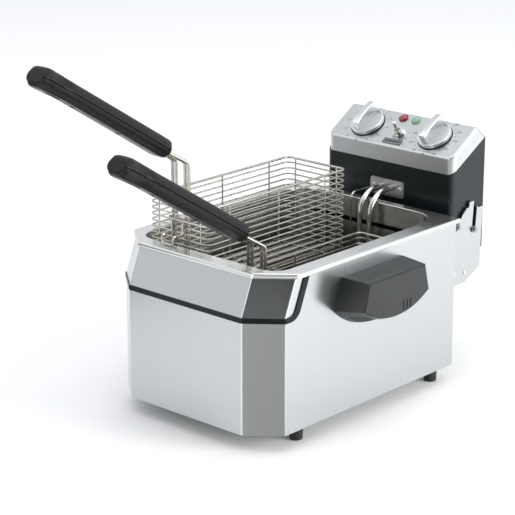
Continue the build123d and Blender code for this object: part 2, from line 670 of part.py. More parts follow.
def heating_element():
    half = element_route()
    route = half + [(-x, y, z) for x, y, z in reversed(half)]
    radii = [28, 14] + [17.5] * 4 + [18] * 2 + [17.5] * 4 + [14, 28]
    path = FilletPolyline(*route, radius=radii)
    ring = Plane(origin=route[0], z_dir=(0, -1, 0)) * Circle(TUBE)
    return sweep(ring, path=path)


def element_clamps():
    """A flat strap that holds the element's runs at one height, on two short legs."""
    along = (150, 162)
    under = ELEMENT_Z - TUBE - 1.6
    strap = box((-88, 88), along, (under, under + 1.5))
    leg = box((65, 67), along, (TANK_FLOOR + SHEET + 0.4, under))
    return strap + leg + mirror_x(leg)


def sensor_bulb():
    """Thermostat bulb that lies beside the element, with its capillary up to the head."""
    end = (BULB_X, 200, ELEMENT_Z)
    rise = TANK_REAR - 5
    bulb = rod((BULB_X, 120, ELEMENT_Z), end, 3.0)
    route = [end, (BULB_X, rise, ELEMENT_Z), (BULB_X, rise, CAPILLARY_Z), (BULB_X, 352, CAPILLARY_Z)]
    line = FilletPolyline(*route, radius=[8, 8])
    capillary = sweep(Plane(origin=route[0], z_dir=(0, 1, 0)) * Circle(1.0), path=line)
    return bulb + capillary


# ---- baskets ----------------------------------------------------------------------------------
def ring_path(inset, z):
    """A rounded rectangle in plan, in the basket's own frame: x about its middle, y from its front."""
    face = Pos(0, BASKET_LENGTH / 2) * RectangleRounded(
        2 * (BASKET_HALF - inset), BASKET_LENGTH - 2 * inset, BASKET_CORNER - inset)
    return (Pos(0, 0, z) * face).faces()[0].outer_wire()


def levels():
    """Heights of the wall's level wires, from the floor up to just under the top frame."""
    count = int(BASKET_DEPTH / WIRE_PITCH)
    return [FRAME_WIRE + 1.9 + WIRE_PITCH * step for step in range(count)]


def fuse(shapes):
    shapes = list(shapes)
    return shapes[0].fuse(*shapes[1:])


def side_mesh(sign):
    """One long wall: level wires outside and upright wires inside, welded where they cross."""
    outside = sign * (BASKET_HALF - WIRE)
    inside = sign * (BASKET_HALF - 2.7 * WIRE)
    ends = (BASKET_CORNER, BASKET_LENGTH - BASKET_CORNER)
    wires = [rod((outside, ends[0], z), (outside, ends[1], z), WIRE) for z in levels()]
    for y in (SIDE_UPRIGHT, BASKET_LENGTH / 2, BASKET_LENGTH - SIDE_UPRIGHT):
        wires.append(rod((inside, y, UPRIGHT_LOW), (inside, y, UPRIGHT_HIGH), WIRE))
    return fuse(wires)


def end_mesh(front):
    """A short wall with its two rounded corners, bent from the same level wires."""
    wires = []
    half = BASKET_HALF - WIRE
    turn = BASKET_CORNER - WIRE
    start = BASKET_CORNER if front else BASKET_LENGTH - BASKET_CORNER
    wall = WIRE if front else BASKET_LENGTH - WIRE
    for z in levels():
        route = [(-half, start, z), (-half, wall, z), (half, wall, z), (half, start, z)]
        path = FilletPolyline(*route, radius=turn - 0.01)
        heading = (0, -1, 0) if front else (0, 1, 0)
        wires.append(sweep(Plane(origin=route[0], z_dir=heading) * Circle(WIRE), path=path))
    inward = 1.7 * WIRE if front else -1.7 * WIRE
    for x in (-END_UPRIGHT, END_UPRIGHT):
        wires.append(rod((x, wall + inward, UPRIGHT_LOW), (x, wall + inward, UPRIGHT_HIGH), WIRE))
    return fuse(wires)


def floor_mesh():
    """Lengthwise floor wires on three cross wires."""
    reach = BASKET_LENGTH - 3.2 * WIRE
    count = 11
    pitch = 2 * (BASKET_HALF - 7) / (count - 1)
    wires = []
    for step in range(count):
        x = -BASKET_HALF + 7 + pitch * step
        pull = max(0.0, abs(x) - (BASKET_HALF - BASKET_CORNER))
        trim = BASKET_CORNER - math.sqrt(max(0.0, BASKET_CORNER ** 2 - pull ** 2))
        wires.append(rod((x, 3.2 * WIRE + trim, WIRE), (x, reach - trim, WIRE), WIRE))
    for y in (30, BASKET_LENGTH / 2, BASKET_LENGTH - 30):
        wires.append(rod((-BASKET_HALF + 2.8, y, 2.6 * WIRE), (BASKET_HALF - 2.8, y, 2.6 * WIRE), WIRE))
    return fuse(wires)


def wire_ring(inset, z, radius):
    path = ring_path(inset, z)
    start = path.position_at(0)
    plane = Plane(origin=start, z_dir=path.tangent_at(0))
    return sweep(plane * Circle(radius), path=path)


def top_frame():
    return wire_ring(FRAME_WIRE, BASKET_DEPTH - FRAME_WIRE, FRAME_WIRE)


def handle_wire(leg_x, grip_x):
    """One leg: up from the floor, over the elbow and along the slope into the grip."""
    slope = math.radians(GRIP_SLOPE)
    elbow = (leg_x, LEG_BACK, BASKET_DEPTH + ELBOW_Z)
    reach = GRIP_START + 60
    entry = (grip_x, elbow[1] - GRIP_START * math.cos(slope), elbow[2] + GRIP_START * math.sin(slope))
    end = (grip_x, elbow[1] - reach * math.cos(slope), elbow[2] + reach * math.sin(slope))
    route = [(leg_x, LEG_BACK, 5.2), elbow, entry, end]
    path = FilletPolyline(*route, radius=[8, 20])
    return sweep(Plane(origin=route[0], z_dir=(0, 0, 1)) * Circle(LEG_WIRE), path=path)


def handle_wires():
    right = [handle_wire(leg, grip) for leg, grip in zip(LEG_OFFSETS, GRIP_OFFSETS)]
    return group(right + [mirror_x(wire) for wire in right])


def handle_straps():
    """Two flat cross straps that weld the legs to the front wall."""
    back = LEG_BACK - LEG_WIRE
    front = 2 * WIRE + 0.02
    return group(box((-16, 16), (front, back), (z, z + 6)) for z in (24, 74))


def rim_hook():
    """Wire loop on the basket's front that rests on the tank's rim when the basket is raised."""
    rest = RIM_TOP + HOOK_WIRE + 0.1 - (LOWERED_TOP + RAISE - BASKET_DEPTH)
    back = -HOOK_WIRE
    left = [(back, rest + 22), (back, rest + 9), (-HOOK_OUT, rest + 9), (-HOOK_OUT, rest)]
    route = [(-HOOK_HALF, y, z) for y, z in left] + [(HOOK_HALF, y, z) for y, z in reversed(left)]
    path = FilletPolyline(*route, radius=3.5)
    return sweep(Plane(origin=route[0], z_dir=(0, 0, -1)) * Circle(HOOK_WIRE), path=path)


def grip_section(along, width, height, drop):
    """A six-sided rounded section across the grip at one place along it."""
    slope = math.radians(GRIP_SLOPE)
    reach = GRIP_START + along
    y = LEG_BACK - reach * math.cos(slope)
    z = BASKET_DEPTH + ELBOW_Z + reach * math.sin(slope)
    plane = Plane(origin=(0, y, z), x_dir=(1, 0, 0), z_dir=(0, -math.cos(slope), math.sin(slope)))
    half = width / 2
    tall = height / 2
    points = [(half, 0), (0.62 * half, tall), (-0.62 * half, tall), (-half, 0), (-0.62 * half, -tall),
              (0.62 * half, -tall)]
    face = make_face(Polyline(*points, close=True))
    face = fillet(face.vertices(), 3.0)
    return plane * (Pos(0, GRIP_RAISE - drop) * face)


def grip_solid():
    stations = [(0, 23, 19, 0), (8, 26, 21, 0), (146, 26, 21, 0), (174, 28, 23.4, 0), (198, 28, 23.4, 1),
                (GRIP_LENGTH, 24, 19, 1.8)]
    return loft([grip_section(*station) for station in stations], ruled=True)


def grip_halves():
    """Upper and lower moulded shells that meet at a seam in the wires' plane."""
    slope = math.radians(GRIP_SLOPE)
    solid = grip_solid()
    for grip in GRIP_OFFSETS:
        solid -= grip_channel(-grip) + grip_channel(grip)
    middle = Plane(origin=(0, LEG_BACK, BASKET_DEPTH + ELBOW_Z), x_dir=(1, 0, 0),
                   z_dir=(0, math.sin(slope), math.cos(slope)))
    upper = solid & (middle.location * Box(80, 600, 60, align=(Align.CENTER, Align.CENTER, Align.MIN)))
    lower = solid & (middle.location * Box(80, 600, 60, align=(Align.CENTER, Align.CENTER, Align.MAX)))
    return upper, lower


def grip_channel(x):
    slope = math.radians(GRIP_SLOPE)
    start = GRIP_START - 12
    end = GRIP_START + 60.3
    top = BASKET_DEPTH + ELBOW_Z
    return rod((x, LEG_BACK - start * math.cos(slope), top + start * math.sin(slope)),
               (x, LEG_BACK - end * math.cos(slope), top + end * math.sin(slope)), LEG_WIRE + 0.02)


def save_basket(side, x, front, top):
    """One basket: its wire walls, frame, handle and hook, all placed by its front and its top."""
    place = Pos(x, front, top - BASKET_DEPTH)
    save(f"basket_{side}_side_mesh", place * group([side_mesh(-1), side_mesh(1)]))
    save(f"basket_{side}_end_mesh", place * group([end_mesh(True), end_mesh(False)]))
    save(f"basket_{side}_floor_mesh", place * floor_mesh())
    save(f"basket_{side}_top_frame", place * top_frame())
    save(f"basket_{side}_handle_wires", place * group([handle_wires(), handle_straps()]))
    save(f"basket_{side}_rim_hook", place * rim_hook())
    upper, lower = grip_halves()
    save(f"grip_{side}_upper", place * upper)
    save(f"grip_{side}_lower", place * lower)


# ---- write every node -------------------------------------------------------------------------
save("outer_housing", outer_housing())
save("front_cap", front_cap())
save("trim_band", trim_band())
save("rear_panel", rear_panel())
save("base_plate", base_plate())
save("feet", feet())
save("foot_fasteners", foot_fasteners())
save("rear_screws", rear_screws())
save("side_handle_right", side_handle())
save("side_handle_left", mirror_x(side_handle()))
save("handle_screws", handle_screws())
save("oil_tank", oil_tank())
save("rear_bracket", rear_bracket())
save("bracket_rivets", bracket_rivets())
save("bracket_bolts", bracket_bolts())
save("head_pins", head_pins())
save("head_housing", head_housing())
save("head_bezel", head_bezel())
save("head_back_cover", head_back_cover())
save("cover_screws", cover_screws())
save("cord_gland", cord_gland())
save("gland_nut", gland_nut())
save("reset_button", reset_button())
save("high_limit_switch", high_limit_switch())
save("terminal_block", terminal_block())
save("dial_rings", group([dial_ring(-DIAL_X), dial_ring(DIAL_X)]))
save("timer_body", control_body(-DIAL_X, 34, 24))
save("thermostat_body", control_body(DIAL_X, 36, 20))
save("timer_knob", knob(-DIAL_X))
save("timer_shaft", knob_shaft(-DIAL_X))
save("temperature_knob", knob(DIAL_X))
save("temperature_shaft", knob_shaft(DIAL_X))
save("power_lamp", lamp(-LAMP_X))
save("ready_lamp", lamp(LAMP_X))
save("lever_switch", lever_bushing())
save("lever_nut", lever_nut())
save("power_lever", power_lever())
save("badge_plate", badge_plate())
save("element_plate", element_plate())
save("element_screws", element_screws())
save("heating_element", heating_element())
save("element_strap", element_clamps())
save("sensor_bulb", sensor_bulb())
save_basket("left", -BASKET_X, LOWERED_FRONT + RAISED_SHIFT, LOWERED_TOP + RAISE)
save_basket("right", BASKET_X, LOWERED_FRONT, LOWERED_TOP)
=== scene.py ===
import json
import math
import random

import bmesh
import bpy
from mathutils import Matrix, Vector, geometry


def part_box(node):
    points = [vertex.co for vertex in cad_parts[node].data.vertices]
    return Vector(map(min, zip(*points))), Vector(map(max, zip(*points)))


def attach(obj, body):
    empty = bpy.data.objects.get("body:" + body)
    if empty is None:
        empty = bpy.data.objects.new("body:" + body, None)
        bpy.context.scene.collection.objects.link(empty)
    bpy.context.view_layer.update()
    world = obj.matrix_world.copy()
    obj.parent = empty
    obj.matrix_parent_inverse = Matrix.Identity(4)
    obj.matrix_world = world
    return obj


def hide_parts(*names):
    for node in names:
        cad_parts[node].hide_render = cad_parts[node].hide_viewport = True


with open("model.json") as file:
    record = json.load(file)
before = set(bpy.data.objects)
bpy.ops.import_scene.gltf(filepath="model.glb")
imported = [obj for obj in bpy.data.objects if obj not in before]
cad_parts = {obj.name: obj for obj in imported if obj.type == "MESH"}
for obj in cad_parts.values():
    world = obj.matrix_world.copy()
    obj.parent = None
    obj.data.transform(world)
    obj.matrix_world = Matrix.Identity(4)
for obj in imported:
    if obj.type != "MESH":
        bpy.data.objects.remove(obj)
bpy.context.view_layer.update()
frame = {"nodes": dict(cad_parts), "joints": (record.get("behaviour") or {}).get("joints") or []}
joints = {joint["name"]: joint for joint in frame["joints"]}
random.seed(7)

MM = 0.001
RIGHT = Vector((1, 0, 0))
UP = Vector((0, 0, 1))
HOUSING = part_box("outer_housing")


def at(x, y, z):
    """A place in millimetres, counted from the middle of the housing's lower front edge."""
    return Vector((x * MM, HOUSING[0].y + y * MM, HOUSING[0].z + z * MM))


# ---- materials --------------------------------------------------------------------------------
class Paint:
    """A Principled material with a few node helpers. Textures use object coordinates, in metres."""

    def __init__(self, name, color, roughness, metallic=0.0, **sockets):
        self.material = bpy.data.materials.new(name)
        self.material.use_nodes = True
        self.nodes = self.material.node_tree.nodes
        self.links = self.material.node_tree.links
        self.shader = self.nodes["Principled BSDF"]
        self.shader.inputs["Base Color"].default_value = (*color, 1)
        self.shader.inputs["Roughness"].default_value = roughness
        self.shader.inputs["Metallic"].default_value = metallic
        for socket, value in sockets.items():
            self.shader.inputs[socket.replace("_", " ")].default_value = value
        self.place = self.nodes.new("ShaderNodeTexCoord").outputs["Object"]

    def link(self, output, node, socket):
        self.links.new(output, node.inputs[socket])

    def noise(self, frequency, stretch=(1, 1, 1), detail=2.0, distortion=0.0):
        """Noise with about this many bumps per metre, times the stretch along each axis."""
        mapping = self.nodes.new("ShaderNodeMapping")
        mapping.inputs["Scale"].default_value = stretch
        self.link(self.place, mapping, "Vector")
        noise = self.nodes.new("ShaderNodeTexNoise")
        noise.inputs["Scale"].default_value = frequency
        noise.inputs["Detail"].default_value = detail
        noise.inputs["Distortion"].default_value = distortion
        self.link(mapping.outputs[0], noise, "Vector")
        return noise.outputs[0]

    def spread(self, value, low, high, start=0.3, end=0.7):
        """A value between start and end, spread between low and high."""
        node = self.nodes.new("ShaderNodeMapRange")
        for socket, number in zip(("From Min", "From Max", "To Min", "To Max"), (start, end, low, high)):
            node.inputs[socket].default_value = number
        self.link(value, node, "Value")
        return node.outputs[0]

    def math(self, kind, first, second):
        node = self.nodes.new("ShaderNodeMath")
        node.operation = kind
        for socket, value in enumerate((first, second)):
            if isinstance(value, (int, float)):
                node.inputs[socket].default_value = value
            else:
                self.links.new(value, node.inputs[socket])
        return node.outputs[0]

    def blend(self, factor, first, second):
        """A colour between two, by a factor from 0 to 1. Either colour may come from another node."""
        node = self.nodes.new("ShaderNodeMix")
        node.data_type = "RGBA"
        self.links.new(factor, node.inputs["Factor"])
        for socket, color in ((node.inputs[6], first), (node.inputs[7], second)):
            if isinstance(color, tuple):
                socket.default_value = (*color, 1)
            else:
                self.links.new(color, socket)
        return node.outputs[2]

    def color(self, factor, first, second):
        self.link(self.blend(factor, first, second), self.shader, "Base Color")

    def roughness(self, value):
        self.link(value, self.shader, "Roughness")

    def bump(self, height, distance, strength):
        node = self.nodes.new("ShaderNodeBump")
        node.inputs["Distance"].default_value = distance
        node.inputs["Strength"].default_value = strength
        self.link(height, node, "Height")
        self.link(node.outputs[0], self.shader, "Normal")

    def axis(self, index):
        """The place along one axis, in metres."""
        node = self.nodes.new("ShaderNodeSeparateXYZ")
        self.link(self.place, node, "Vector")
        return node.outputs[index]


def steel(name, tone, rough, grain, stretch, contrast=0.05, brushed=0.0):
    """Brushed sheet: fine parallel grain, cloudy polish and faint wiping marks."""
    paint = Paint(name, tone, rough, metallic=1.0)
    lines = paint.noise(grain, stretch, detail=4)
    cloud = paint.noise(14, detail=3)
    marks = paint.noise(55, (1, 1, 0.35), detail=4, distortion=0.6)
    rough_lines = paint.spread(lines, rough - contrast, rough + contrast)
    rough_cloud = paint.spread(cloud, -0.6 * contrast, 0.6 * contrast)
    rough_marks = paint.spread(marks, 0.0, contrast, 0.58, 0.72)
    paint.roughness(paint.math("ADD", paint.math("ADD", rough_lines, rough_cloud), rough_marks))
    dark = tuple((1 - 0.8 * contrast) * channel for channel in tone)
    paint.color(paint.spread(lines, 0, 1), dark, tone)
    paint.bump(lines, 0.00006 * contrast, 0.25)
    if brushed:
        paint.shader.inputs["Anisotropic"].default_value = brushed
        paint.shader.inputs["Anisotropic Rotation"].default_value = 0.25
        tangent = paint.nodes.new("ShaderNodeTangent")
        tangent.direction_type = "RADIAL"
        tangent.axis = "Z"
        paint.link(tangent.outputs[0], paint.shader, "Tangent")
    return paint.material


# Heights and depths in millimetres, as at() counts them.
BROWNEST_HEIGHT, PLAIN_HEIGHT = 60, 172
# The height of the near-black line of painted shade on the tank's rear wall.
SHADE_LINE_HEIGHT = 147.5
REAR_WALL_START, REAR_WALL_FULL = 302, 309


def tank_steel():
    """The tank's pressed sheet: satin above, darker, browner and rougher towards the bottom, and a near-black
    line of painted shade along the rear wall.
    """
    tone = (0.74, 0.75, 0.745)
    paint = Paint("tank_sheet", tone, 0.26, metallic=1.0)
    lines = paint.noise(60, (1, 1, 28), detail=4)
    mottle = paint.noise(16, detail=2)
    height = paint.axis(2)
    # Darker, browner and rougher towards the bottom of the tank, mottled a little.
    depth = paint.spread(height, 1.0, 0.0, at(0, 0, BROWNEST_HEIGHT).z, at(0, 0, PLAIN_HEIGHT).z)
    brown = paint.math("MULTIPLY", depth, paint.spread(mottle, 0.93, 1.0))
    darkened_low = paint.blend(brown, tone, (0.13, 0.12, 0.105))
    # A near-black line of painted shade round that height, on the rear wall only.
    level = paint.math("ABSOLUTE", paint.math("SUBTRACT", height, at(0, 0, SHADE_LINE_HEIGHT).z), 0.0)
    line = paint.spread(level, 1.0, 0.0, 2.0 * MM, 3.2 * MM)
    rear = paint.spread(paint.axis(1), 0.0, 1.0, at(0, REAR_WALL_START, 0).y, at(0, REAR_WALL_FULL, 0).y)
    paint.color(paint.math("MULTIPLY", line, rear), darkened_low, (0.012, 0.012, 0.010))
    paint.roughness(paint.math("ADD", paint.spread(lines, 0.22, 0.27), paint.math("MULTIPLY", brown, 0.12)))
    paint.bump(lines, 0.000001, 0.2)
    return paint.material


def wire_plating(name, tone, rough):
    """Nickel-plated wire, a little duller and browner in places from use."""
    paint = Paint(name, tone, rough, metallic=1.0)
    wear = paint.noise(90, detail=4)
    fine = paint.noise(900, detail=2)
    brown = (0.74 * tone[0], 0.74 * tone[1], 0.66 * tone[2])
    paint.color(paint.spread(wear, 0, 1, 0.42, 0.75), tone, brown)
    rough_wear = paint.spread(wear, rough - 0.04, rough + 0.12)
    paint.roughness(paint.math("ADD", rough_wear, paint.spread(fine, 0, 0.05)))
    paint.bump(fine, 0.00003, 0.3)
    return paint.material


def moulded(name, tone, rough, grain=1400, **sockets):
    """Moulded plastic or rubber: fine pebbled grain, handling shine and slightly paler worn places."""
    paint = Paint(name, tone, rough, **sockets)
    pebble = paint.noise(grain, detail=2)
    cloud = paint.noise(30, detail=4)
    paint.color(paint.spread(cloud, 0, 1, 0.35, 0.8), tone, tuple(1.35 * c for c in tone))
    paint.roughness(paint.math("ADD", paint.spread(pebble, rough - 0.05, rough + 0.05),
                               paint.spread(cloud, -0.05, 0.05)))
    paint.bump(pebble, 0.00006, 0.6)
    return paint.material


def enamel(name, tone, rough, coat=0.0, **sockets):
    """Smooth painted metal with slight orange peel and dust."""
    paint = Paint(name, tone, rough, Coat_Weight=coat, Coat_Roughness=0.12, **sockets)
    peel = paint.noise(420, detail=1)
    dust = paint.noise(35, detail=2)
    paint.color(paint.spread(dust, 0, 1, 0.4, 0.8), tone, tuple(c * 1.06 + 0.0003 for c in tone))
    paint.roughness(paint.spread(dust, rough - 0.006, rough + 0.01))
    paint.bump(peel, 0.000008, 0.3)
    return paint.material


def silver_paint(name, tone, rough, metallic):
    """Metallic silver finish with fine flakes."""
    paint = Paint(name, tone, rough, metallic=metallic)
    flakes = paint.noise(2600, detail=1)
    cloud = paint.noise(25, detail=3)
    paint.color(paint.spread(flakes, 0, 1), tuple(0.95 * c for c in tone), tone)
    paint.roughness(paint.math("ADD", paint.spread(flakes, rough - 0.015, rough + 0.015),
                               paint.spread(cloud, -0.01, 0.01)))
    paint.bump(flakes, 0.000005, 0.25)
    return paint.material


def lens(name, tone, deep):
    """A moulded lamp lens with fine rings under a glossy surface."""
    paint = Paint(name, tone, 0.12, Coat_Weight=0.6, Coat_Roughness=0.05)
    rings = paint.noise(700, detail=1)
    paint.color(paint.spread(rings, 0, 1, 0.35, 0.65), deep, tone)
    paint.roughness(paint.spread(rings, 0.08, 0.22))
    paint.bump(rings, 0.0002, 0.5)
    return paint.material


housing_steel = steel("housing_sheet", (0.565, 0.582, 0.582), 0.25, 90, (1, 1, 28), 0.014, 0.5)
bracket_steel = steel("bracket_sheet", (0.54, 0.555, 0.555), 0.28, 90, (1, 28, 1), 0.02)
cover_steel = steel("cover_sheet", (0.56, 0.56, 0.56), 0.34, 90, (28, 1, 1), 0.03)
plate_steel = steel("stamped_plate", (0.62, 0.63, 0.62), 0.34, 300, (1, 1, 1))
bolt_steel = steel("screw_steel", (0.66, 0.66, 0.64), 0.30, 700, (1, 1, 1))
pin_steel = steel("pin_metal", (0.42, 0.42, 0.42), 0.26, 500, (6, 1, 1))
element_steel = steel("element_tube", (0.66, 0.65, 0.62), 0.24, 350, (1, 1, 1))
tank_sheet = tank_steel()
plated_wire = wire_plating("plated_wire", (0.54, 0.52, 0.48), 0.24)
lever_plating = wire_plating("lever_plating", (0.78, 0.78, 0.77), 0.12)
band_black = enamel("band_black", (0.006, 0.008, 0.009), 0.24, Specular_IOR_Level=0.22)
head_black = enamel("head_enamel", (0.006, 0.009, 0.010), 0.27, Specular_IOR_Level=0.38)
handle_grey = moulded("handle_plastic", (0.015, 0.017, 0.018), 0.33, Specular_IOR_Level=0.4)
grip_black = moulded("grip_plastic", (0.006, 0.0064, 0.0062), 0.31, Specular_IOR_Level=0.24)
switch_black = moulded("switch_plastic", (0.03, 0.03, 0.03), 0.45)
foot_rubber = moulded("foot_rubber", (0.009, 0.010, 0.010), 0.62, grain=900)
reset_red = moulded("reset_plastic", (0.42, 0.02, 0.015), 0.35)
bezel_silver = silver_paint("bezel_paint", (0.57, 0.59, 0.59), 0.31, metallic=0.9)
knob_silver = silver_paint("knob_metal", (0.70, 0.71, 0.715), 0.26, metallic=1.0)
# The dial rings are black to stand for the shadow gap under each knob: painted shade.
ring_black = enamel("ring_black", (0.012, 0.012, 0.012), 0.3)
badge_black = enamel("badge_enamel", (0.05, 0.052, 0.055), 0.25, coat=0.4)
print_grey = enamel("printing", (0.02, 0.022, 0.024), 0.5)
red_lens = lens("red_lens", (0.34, 0.016, 0.022), (0.12, 0.004, 0.006))
green_lens = lens("green_lens", (0.26, 0.46, 0.31), (0.10, 0.27, 0.15))

FINISHES = {
    housing_steel: ["outer_housing", "front_cap", "rear_panel", "base_plate"],
    tank_sheet: ["oil_tank"],
    bracket_steel: ["rear_bracket", "element_strap"],
    cover_steel: ["head_back_cover"],
    plate_steel: ["element_plate"],
    bolt_steel: ["foot_fasteners", "rear_screws", "handle_screws", "bracket_rivets", "bracket_bolts",
                 "cover_screws", "element_screws", "timer_shaft", "temperature_shaft"],
    pin_steel: ["head_pins"],
    element_steel: ["heating_element", "sensor_bulb"],
    lever_plating: ["lever_nut", "power_lever", "lever_switch"],
    band_black: ["trim_band"],
    head_black: ["head_housing"],
    handle_grey: ["side_handle_right", "side_handle_left"],
    switch_black: ["cord_gland", "gland_nut", "high_limit_switch", "terminal_block", "timer_body",
                   "thermostat_body"],
    foot_rubber: ["feet"],
    reset_red: ["reset_button"],
    bezel_silver: ["head_bezel"],
    knob_silver: ["timer_knob", "temperature_knob"],
    ring_black: ["dial_rings"],
    badge_black: ["badge_plate"],
    red_lens: ["power_lamp"],
    green_lens: ["ready_lamp"],
}
for finish, names in FINISHES.items():
    for name in names:
        for material_slot in frame["nodes"][name].material_slots:
            material_slot.material = finish


# ---- building pieces --------------------------------------------------------------------------
class Shape:
    """Collects the points and faces of one piece."""

    def __init__(self):
        self.points = []
        self.faces = []

    def skin(self, rings, closed=False):
        """Joins rings of equal count, and closes the two ends unless the rings form a loop."""
        start = len(self.points)
        count = len(rings[0])
        for ring in rings:
            self.points += ring
        for row in range(len(rings) if closed else len(rings) - 1):
            here = start + row * count
            there = start + (row + 1) % len(rings) * count
            for step in range(count):
                turn = (step + 1) % count
                self.faces.append((here + step, here + turn, there + turn, there + step))
        if not closed:
            self.faces.append(tuple(start + step for step in reversed(range(count))))
            self.faces.append(tuple(start + (len(rings) - 1) * count + step for step in range(count)))

    def tube(self, path, radius, sides, closed=False):
        """A round wire along a path, without twist."""
        rings = []
        across = None
        for index, point in enumerate(path):
            before = path[index - 1] if closed or index else point
            after = path[(index + 1) % len(path)] if closed or index < len(path) - 1 else point
            along = (after - before).normalized()
            across = along.orthogonal() if across is None else across
            across = (across - along * across.dot(along)).normalized()
            third = along.cross(across)
            turns = [2 * math.pi * side / sides for side in range(sides)]
            rings.append([point + (across * math.cos(t) + third * math.sin(t)) * radius for t in turns])
        self.skin(rings, closed)

    def blob(self, centre, size):
        """A small weld nugget."""
        rings = []
        for latitude in (-1.2, -0.5, 0.5, 1.2):
            wide = size * math.cos(latitude)
            lift = size * math.sin(latitude)
            turns = [math.pi * side / 3 for side in range(6)]
            rings.append([centre + Vector((wide * math.cos(t), wide * math.sin(t), lift)) for t in turns])
        self.skin(rings)

    def block(self, low, high):
        corners = [Vector((x, y, z)) for z in (low.z, high.z)
                   for x, y in ((low.x, low.y), (high.x, low.y), (high.x, high.y), (low.x, high.y))]
        self.skin([corners[:4], corners[4:]])

    def mesh(self, name):
        """The shape as a mesh with its faces turned outwards."""
        mesh = bpy.data.meshes.new(name)
        mesh.from_pydata(self.points, [], self.faces)
        edit = bmesh.new()
        edit.from_mesh(mesh)
        bmesh.ops.recalc_face_normals(edit, faces=edit.faces)
        edit.to_mesh(mesh)
        edit.free()
        return mesh

    def make(self, name, material, body, slot, replaces=(), sharp=35):
        return place(name, self.mesh(name), material, body, replaces, sharp)


def place(name, mesh, material, body, replaces, sharp):
    """Puts a mesh in the scene as a finished piece that rides on a body."""
    mesh.materials.clear()
    mesh.materials.append(material)
    mesh.polygons.foreach_set("use_smooth", [True] * len(mesh.polygons))
    mesh.set_sharp_from_angle(angle=math.radians(sharp))
    piece = bpy.data.objects.new(name, mesh)
    bpy.context.scene.collection.objects.link(piece)
    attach(piece, body)
    if replaces:
        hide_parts(*replaces)
    return piece


def rounded(points, radii):
    """A path of straight runs joined by arcs."""
    steps = 6
    path = [points[0]]
    for before, corner, after, radius in zip(points, points[1:], points[2:], radii):
        incoming = (corner - before).normalized()
        outgoing = (after - corner).normalized()
        turn = incoming.angle(outgoing)
        start = corner - incoming * radius * math.tan(turn / 2)
        centre = corner + (outgoing - incoming).normalized() * radius / math.cos(turn / 2)
        axis = incoming.cross(outgoing).normalized()
        for step in range(steps + 1):
            path.append(centre + Matrix.Rotation(turn * step / steps, 3, axis) @ (start - centre))
    path.append(points[-1])
    return path


# ---- baskets ----------------------------------------------------------------------------------
WIRE = 0.95 * MM
FRAME_WIRE = 1.4 * MM
LEG_WIRE = 1.75 * MM
HOOK_WIRE = 1.5 * MM
PITCH = 6.7 * MM
CORNER = 8 * MM
SIDE_UPRIGHT = 36 * MM
END_UPRIGHT = 31 * MM
LEG_BACK = 4.6 * MM
ELBOW_RISE = 43.7 * MM
GRIP_SLOPE = math.radians(31.8)
GRIP_START = 29.5 * MM
ROWS = 14
FIRST_ROW = 3.3 * MM  # the lowest level wire, from the floor
FLOOR_WIRES = 11
STRAP_HEIGHTS = (24 * MM, 74 * MM)
STRAP_HALF = 16 * MM
LEGS = ((6.6 * MM, 3.6 * MM), (12.2 * MM, 8.2 * MM))  # each leg's x below the elbow and in the grip


